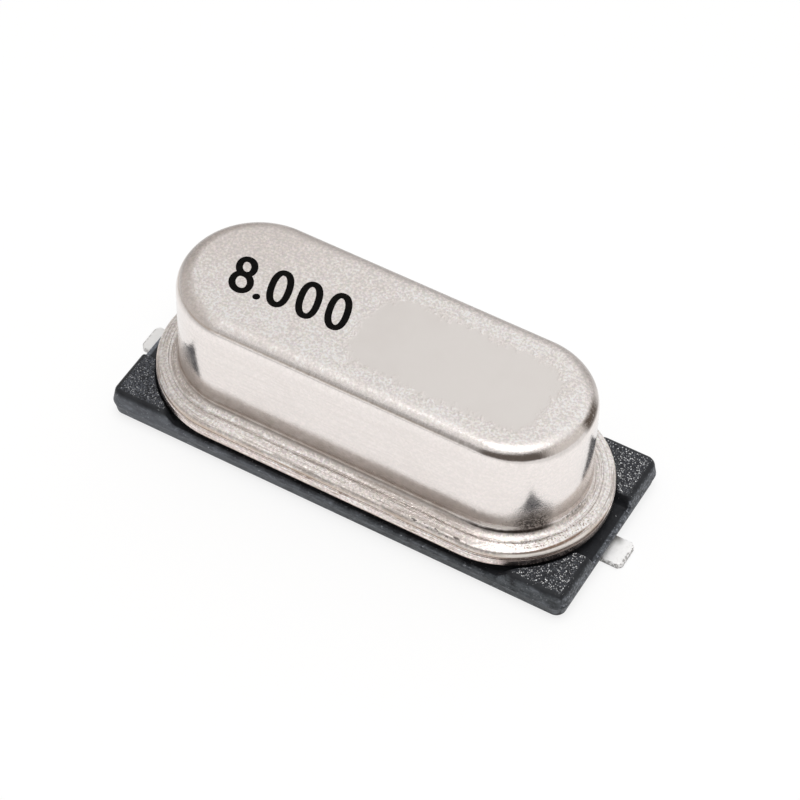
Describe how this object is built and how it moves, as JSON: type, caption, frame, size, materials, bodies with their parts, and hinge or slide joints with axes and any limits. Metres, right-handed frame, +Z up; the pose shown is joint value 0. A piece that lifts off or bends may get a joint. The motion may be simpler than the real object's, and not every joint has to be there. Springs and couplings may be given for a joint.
{
  "type": "crystal oscillator",
  "caption": "Low-profile quartz crystal for surface mounting: an oval welded steel can on a black plastic plate, with a flat solder tab in the middle of each end.",
  "frame": {"origin": "middle of the footprint, on the board's surface, under the two solder tabs", "axes": "+X along the part from tab to tab, +Y across it, +Z up from the board"},
  "size_m": [0.0122, 0.0046, 0.0039],
  "materials": {
    "black_plastic": "moulded black plastic, grained on the corner pads and satin elsewhere",
    "plated_can": "satin nickel plating with a fine sandy grain and faint drawing marks",
    "plated_header": "satin nickel plating with a warm tint at the weld",
    "tinned_lead": "dull tin plating",
    "seal_glass": "dark sealing glass",
    "spring_sheet": "rolled nickel silver",
    "quartz": "lapped clear quartz",
    "silver_film": "evaporated silver",
    "silver_adhesive": "cured conductive adhesive"
  },
  "bodies": {
    "root": {"insulator_base": "black_plastic", "header_plate": "plated_header", "can_cover": "plated_can", "glass_seal_left": "seal_glass", "glass_seal_right": "seal_glass", "lead_left": "tinned_lead", "lead_right": "tinned_lead", "mount_clip_left": "spring_sheet", "mount_clip_right": "spring_sheet", "quartz_blank": "quartz", "electrode_top": "silver_film", "electrode_bottom": "silver_film", "adhesive_left": "silver_adhesive", "adhesive_right": "silver_adhesive"}
  },
  "joints": []
}
